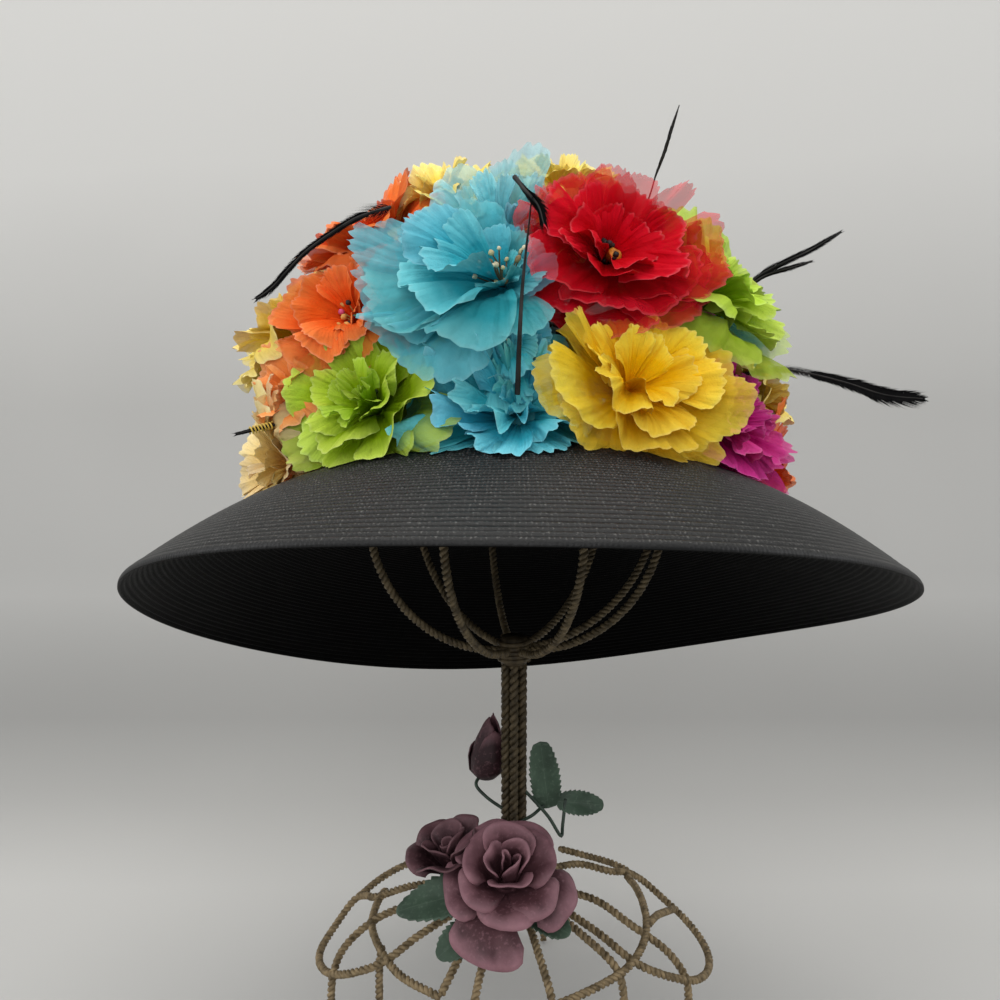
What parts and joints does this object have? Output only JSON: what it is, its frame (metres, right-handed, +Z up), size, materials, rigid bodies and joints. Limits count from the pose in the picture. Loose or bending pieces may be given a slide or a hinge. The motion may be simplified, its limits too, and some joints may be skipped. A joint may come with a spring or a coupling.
{
  "type": "floral hat on a wire hat stand",
  "caption": "Wide-brimmed black straw hat covered in bright organza flowers and black feathers, on a twisted wire stand with metal roses.",
  "frame": {"origin": "on the floor, under the middle of the bounding box of the hat and its stand", "axes": "+Z up, the raised front of the brim towards -Y, +X to the hat's right as seen from the front"},
  "size_m": [0.4066, 0.3788, 0.5342],
  "materials": {
    "straw_black": "satin, light sheen across the rows",
    "organza_red": "translucent, soft",
    "organza_turquoise": "translucent, soft",
    "organza_pale_turquoise": "translucent, soft",
    "organza_gold": "translucent, soft",
    "organza_yellow": "translucent, soft",
    "organza_orange": "translucent, soft",
    "organza_salmon": "translucent, soft",
    "organza_cream": "translucent, soft",
    "organza_lime": "translucent, soft",
    "organza_magenta": "translucent, soft",
    "organza_pink": "translucent, soft",
    "feather_black": "soft sheen",
    "wire_gold": "antique gold, satin",
    "rose_mauve": "matte with rubbed edges",
    "leaf_green": "matte, mottled"
  },
  "bodies": {
    "root": {"brim": "straw_black", "crown": "straw_black", "flower_red": "organza_red", "flower_turquoise_upper": "organza_turquoise", "flower_turquoise_top": "organza_pale_turquoise", "flower_turquoise_middle": "organza_turquoise", "flower_turquoise_lower": "organza_turquoise", "flower_gold_right": "organza_gold", "flower_magenta_right": "organza_magenta", "flower_lime_right": "organza_lime", "flower_yellow_right": "organza_yellow", "flower_orange_right": "organza_orange", "flower_lime_left": "organza_lime", "flower_orange_left": "organza_orange", "flower_orange_top": "organza_orange", "flower_yellow_left": "organza_yellow", "flower_salmon_left": "organza_salmon", "flower_cream_left": "organza_cream", "flower_yellow_top_left": "organza_yellow", "flower_yellow_top_right": "organza_yellow", "flower_pink_top": "organza_pink", "flower_magenta_top": "organza_magenta", "flower_turquoise_left": "organza_turquoise", "flower_orange_back_left": "organza_orange", "flower_red_back_left": "organza_red", "flower_lime_back_left": "organza_lime", "flower_magenta_back_left": "organza_magenta", "flower_gold_back_left": "organza_gold", "flower_turquoise_back": "organza_turquoise", "flower_yellow_back": "organza_yellow", "flower_red_back": "organza_red", "flower_orange_back": "organza_orange", "flower_lime_back_right": "organza_lime", "flower_turquoise_back_right": "organza_turquoise", "feather_left_curved": "feather_black", "quill_centre": "feather_black", "quill_top_right": "feather_black", "feather_right_upper": "feather_black", "feather_right_large": "feather_black", "quill_left_bound": "feather_black", "cage_cap": "wire_gold", "stem_binding": "wire_gold", "cage_rib_1": "wire_gold", "cage_rib_2": "wire_gold", "cage_rib_3": "wire_gold", "cage_rib_4": "wire_gold", "cage_rib_5": "wire_gold", "cage_rib_6": "wire_gold", "cage_rib_7": "wire_gold", "cage_rib_8": "wire_gold", "stem": "wire_gold", "base_frame": "wire_gold", "rose_large": "rose_mauve", "rose_left": "rose_mauve", "rose_bud": "rose_mauve", "leaf_upright": "leaf_green", "leaf_oval": "leaf_green", "leaf_left": "leaf_green", "leaf_lower": "leaf_green", "leaf_right": "leaf_green"}
  },
  "joints": []
}
